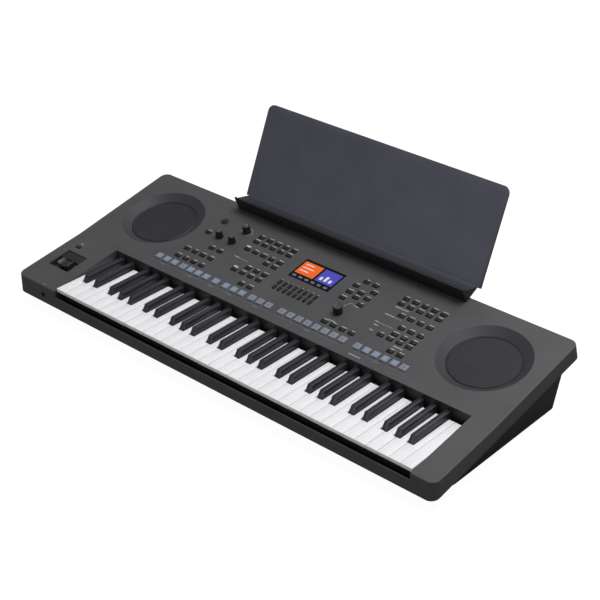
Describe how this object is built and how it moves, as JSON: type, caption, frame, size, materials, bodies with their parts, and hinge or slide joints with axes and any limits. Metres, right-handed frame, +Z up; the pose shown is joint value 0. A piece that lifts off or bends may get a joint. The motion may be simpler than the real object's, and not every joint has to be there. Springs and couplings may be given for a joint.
{
  "type": "arranger keyboard",
  "caption": "Electronic arranger keyboard with hinged piano keys, tilted control panel with buttons, pads, knobs and display, twin speakers, joystick and lift-off music rest.",
  "frame": {"origin": "on the floor under the middle of the whole object, music rest included", "axes": "+X to the player's right, +Y from the player to the rear, +Z up"},
  "size_m": [1.004, 0.4916, 0.3206],
  "materials": {
    "panel_grey": "fine grained satin",
    "case_dark": "fine grained",
    "chassis_grey": "moulded",
    "felt_grey": "felt",
    "board_green": "solder mask",
    "rubber_grey": "silicone",
    "grille_black": "perforated sheet",
    "speaker_steel": "stamped",
    "cone_black": "pressed paper",
    "screen_pane": "polished window",
    "socket_black": "moulded",
    "pot_metal": "stamped",
    "housing_black": "moulded",
    "lever_black": "satin",
    "foot_rubber": "moulded",
    "screw_steel": "black oxide",
    "key_white": "satin gloss",
    "key_black": "fine grained",
    "button_dark": "satin",
    "pad_grey": "translucent silicone",
    "knob_black": "satin",
    "rest_grey": "fine grained"
  },
  "bodies": {
    "case": {"upper_case": "panel_grey", "lower_case": "case_dark", "key_chassis": "chassis_grey", "key_stop_felt": "felt_grey", "key_contact_board": "board_green", "key_contact_rubber": "rubber_grey", "left_speaker_grille": "grille_black", "right_speaker_grille": "grille_black", "left_speaker_frame": "speaker_steel", "right_speaker_frame": "speaker_steel", "left_speaker_cone": "cone_black", "right_speaker_cone": "cone_black", "display_window": "screen_pane", "display_module": "board_green", "left_panel_board": "board_green", "right_panel_board": "board_green", "pad_board": "board_green", "main_board": "board_green", "jack_board": "board_green", "rear_sockets": "socket_black", "headphone_jack": "socket_black", "panel_pots": "pot_metal", "joystick_housing": "housing_black", "rubber_feet": "foot_rubber", "case_screws": "screw_steel"},
    "keys_c": {"keys_c": "key_white"},
    "keys_c_sharp": {"keys_c_sharp": "key_black"},
    "keys_d": {"keys_d": "key_white"},
    "keys_d_sharp": {"keys_d_sharp": "key_black"},
    "keys_e": {"keys_e": "key_white"},
    "keys_f": {"keys_f": "key_white"},
    "keys_f_sharp": {"keys_f_sharp": "key_black"},
    "keys_g": {"keys_g": "key_white"},
    "keys_g_sharp": {"keys_g_sharp": "key_black"},
    "keys_a": {"keys_a": "key_white"},
    "keys_a_sharp": {"keys_a_sharp": "key_black"},
    "keys_b": {"keys_b": "key_white"},
    "left_function_buttons": {"left_function_buttons": "button_dark"},
    "style_category_buttons": {"style_category_buttons": "button_dark"},
    "style_setup_buttons": {"style_setup_buttons": "button_dark"},
    "track_buttons": {"track_buttons": "button_dark"},
    "display_buttons": {"display_buttons": "button_dark"},
    "menu_buttons": {"menu_buttons": "button_dark"},
    "bank_buttons": {"bank_buttons": "button_dark"},
    "voice_category_buttons": {"voice_category_buttons": "button_dark"},
    "voice_part_buttons": {"voice_part_buttons": "button_dark"},
    "voice_effect_buttons": {"voice_effect_buttons": "button_dark"},
    "style_pads": {"style_pads": "pad_grey"},
    "memory_pads": {"memory_pads": "pad_grey"},
    "phrase_pads": {"phrase_pads": "pad_grey"},
    "standby_button": {"standby_button": "button_dark"},
    "hold_button": {"hold_button": "button_dark"},
    "volume_knob": {"volume_knob": "knob_black"},
    "left_live_knob": {"left_live_knob": "knob_black"},
    "right_live_knob": {"right_live_knob": "knob_black"},
    "data_dial": {"data_dial": "knob_black"},
    "joystick_cradle": {"joystick_cradle": "housing_black"},
    "joystick_lever": {"joystick_lever": "lever_black"},
    "music_rest": {"music_rest": "rest_grey"}
  },
  "joints": [
    {"name": "keys_c_press", "type": "hinge", "parent": "case", "child": "keys_c", "pos_m": [0, -0.04978, 0.058], "axis": [1, 0, 0], "range_deg": [0, 3], "stiffness_Nm_per_rad": 4, "springref_deg": -6.88},
    {"name": "keys_c_sharp_press", "type": "hinge", "parent": "case", "child": "keys_c_sharp", "pos_m": [0, -0.04978, 0.058], "axis": [1, 0, 0], "range_deg": [0, 3], "stiffness_Nm_per_rad": 4, "springref_deg": -6.88},
    {"name": "keys_d_press", "type": "hinge", "parent": "case", "child": "keys_d", "pos_m": [0, -0.04978, 0.058], "axis": [1, 0, 0], "range_deg": [0, 3], "stiffness_Nm_per_rad": 4, "springref_deg": -6.88},
    {"name": "keys_d_sharp_press", "type": "hinge", "parent": "case", "child": "keys_d_sharp", "pos_m": [0, -0.04978, 0.058], "axis": [1, 0, 0], "range_deg": [0, 3], "stiffness_Nm_per_rad": 4, "springref_deg": -6.88},
    {"name": "keys_e_press", "type": "hinge", "parent": "case", "child": "keys_e", "pos_m": [0, -0.04978, 0.058], "axis": [1, 0, 0], "range_deg": [0, 3], "stiffness_Nm_per_rad": 4, "springref_deg": -6.88},
    {"name": "keys_f_press", "type": "hinge", "parent": "case", "child": "keys_f", "pos_m": [0, -0.04978, 0.058], "axis": [1, 0, 0], "range_deg": [0, 3], "stiffness_Nm_per_rad": 4, "springref_deg": -6.88},
    {"name": "keys_f_sharp_press", "type": "hinge", "parent": "case", "child": "keys_f_sharp", "pos_m": [0, -0.04978, 0.058], "axis": [1, 0, 0], "range_deg": [0, 3], "stiffness_Nm_per_rad": 4, "springref_deg": -6.88},
    {"name": "keys_g_press", "type": "hinge", "parent": "case", "child": "keys_g", "pos_m": [0, -0.04978, 0.058], "axis": [1, 0, 0], "range_deg": [0, 3], "stiffness_Nm_per_rad": 4, "springref_deg": -6.88},
    {"name": "keys_g_sharp_press", "type": "hinge", "parent": "case", "child": "keys_g_sharp", "pos_m": [0, -0.04978, 0.058], "axis": [1, 0, 0], "range_deg": [0, 3], "stiffness_Nm_per_rad": 4, "springref_deg": -6.88},
    {"name": "keys_a_press", "type": "hinge", "parent": "case", "child": "keys_a", "pos_m": [0, -0.04978, 0.058], "axis": [1, 0, 0], "range_deg": [0, 3], "stiffness_Nm_per_rad": 4, "springref_deg": -6.88},
    {"name": "keys_a_sharp_press", "type": "hinge", "parent": "case", "child": "keys_a_sharp", "pos_m": [0, -0.04978, 0.058], "axis": [1, 0, 0], "range_deg": [0, 3], "stiffness_Nm_per_rad": 4, "springref_deg": -6.88},
    {"name": "keys_b_press", "type": "hinge", "parent": "case", "child": "keys_b", "pos_m": [0, -0.04978, 0.058], "axis": [1, 0, 0], "range_deg": [0, 3], "stiffness_Nm_per_rad": 4, "springref_deg": -6.88},
    {"name": "left_function_buttons_press", "type": "slide", "parent": "case", "child": "left_function_buttons", "axis": [0, -0.1966, 0.9805], "range_m": [-0.0012, 0], "stiffness_N_per_m": 1500, "springref_m": 0.0008},
    {"name": "style_category_buttons_press", "type": "slide", "parent": "case", "child": "style_category_buttons", "axis": [0, -0.1966, 0.9805], "range_m": [-0.0012, 0], "stiffness_N_per_m": 1500, "springref_m": 0.0008},
    {"name": "style_setup_buttons_press", "type": "slide", "parent": "case", "child": "style_setup_buttons", "axis": [0, -0.1966, 0.9805], "range_m": [-0.0012, 0], "stiffness_N_per_m": 1500, "springref_m": 0.0008},
    {"name": "track_buttons_press", "type": "slide", "parent": "case", "child": "track_buttons", "axis": [0, -0.1966, 0.9805], "range_m": [-0.0012, 0], "stiffness_N_per_m": 1500, "springref_m": 0.0008},
    {"name": "display_buttons_press", "type": "slide", "parent": "case", "child": "display_buttons", "axis": [0, -0.1966, 0.9805], "range_m": [-0.0012, 0], "stiffness_N_per_m": 1500, "springref_m": 0.0008},
    {"name": "menu_buttons_press", "type": "slide", "parent": "case", "child": "menu_buttons", "axis": [0, -0.1966, 0.9805], "range_m": [-0.0012, 0], "stiffness_N_per_m": 1500, "springref_m": 0.0008},
    {"name": "bank_buttons_press", "type": "slide", "parent": "case", "child": "bank_buttons", "axis": [0, -0.1966, 0.9805], "range_m": [-0.0012, 0], "stiffness_N_per_m": 1500, "springref_m": 0.0008},
    {"name": "voice_category_buttons_press", "type": "slide", "parent": "case", "child": "voice_category_buttons", "axis": [0, -0.1966, 0.9805], "range_m": [-0.0012, 0], "stiffness_N_per_m": 1500, "springref_m": 0.0008},
    {"name": "voice_part_buttons_press", "type": "slide", "parent": "case", "child": "voice_part_buttons", "axis": [0, -0.1966, 0.9805], "range_m": [-0.0012, 0], "stiffness_N_per_m": 1500, "springref_m": 0.0008},
    {"name": "voice_effect_buttons_press", "type": "slide", "parent": "case", "child": "voice_effect_buttons", "axis": [0, -0.1966, 0.9805], "range_m": [-0.0012, 0], "stiffness_N_per_m": 1500, "springref_m": 0.0008},
    {"name": "style_pads_press", "type": "slide", "parent": "case", "child": "style_pads", "axis": [0, -0.1966, 0.9805], "range_m": [-0.0012, 0], "stiffness_N_per_m": 1500, "springref_m": 0.0008},
    {"name": "memory_pads_press", "type": "slide", "parent": "case", "child": "memory_pads", "axis": [0, -0.1966, 0.9805], "range_m": [-0.0012, 0], "stiffness_N_per_m": 1500, "springref_m": 0.0008},
    {"name": "phrase_pads_press", "type": "slide", "parent": "case", "child": "phrase_pads", "axis": [0, -0.1966, 0.9805], "range_m": [-0.0012, 0], "stiffness_N_per_m": 1500, "springref_m": 0.0008},
    {"name": "standby_button_press", "type": "slide", "parent": "case", "child": "standby_button", "axis": [0, -0.1966, 0.9805], "range_m": [-0.0012, 0], "stiffness_N_per_m": 1500, "springref_m": 0.0008},
    {"name": "hold_button_press", "type": "slide", "parent": "case", "child": "hold_button", "axis": [0, -0.1448, 0.9895], "range_m": [-0.0012, 0], "stiffness_N_per_m": 500, "springref_m": 0.0008},
    {"name": "volume_knob_turn", "type": "hinge", "parent": "case", "child": "volume_knob", "pos_m": [-0.2088, 0.08984, 0.12109], "axis": [0, -0.1966, 0.9805], "range_deg": [-150, 150]},
    {"name": "left_live_knob_turn", "type": "hinge", "parent": "case", "child": "left_live_knob", "pos_m": [-0.2446, 0.05062, 0.11323], "axis": [0, -0.1966, 0.9805], "range_deg": [-150, 150]},
    {"name": "right_live_knob_turn", "type": "hinge", "parent": "case", "child": "right_live_knob", "pos_m": [-0.2112, 0.05062, 0.11323], "axis": [0, -0.1966, 0.9805], "range_deg": [-150, 150]},
    {"name": "data_dial_turn", "type": "hinge", "parent": "case", "child": "data_dial", "pos_m": [0.1005, -0.00164, 0.10275], "axis": [0, -0.1966, 0.9805], "continuous": true},
    {"name": "joystick_forward_back", "type": "hinge", "parent": "case", "child": "joystick_cradle", "pos_m": [-0.441, -0.17251, 0.05907], "axis": [1, 0, 0], "range_deg": [-12, 12], "stiffness_Nm_per_rad": 0.4},
    {"name": "joystick_sideways", "type": "hinge", "parent": "joystick_cradle", "child": "joystick_lever", "pos_m": [-0.441, -0.17251, 0.05907], "axis": [0, 0.9895, 0.1448], "range_deg": [-12, 12], "stiffness_Nm_per_rad": 0.4},
    {"name": "music_rest_lift", "type": "slide", "parent": "case", "child": "music_rest", "axis": [0, 0, 1], "range_m": [0, 0.03]}
  ]
}
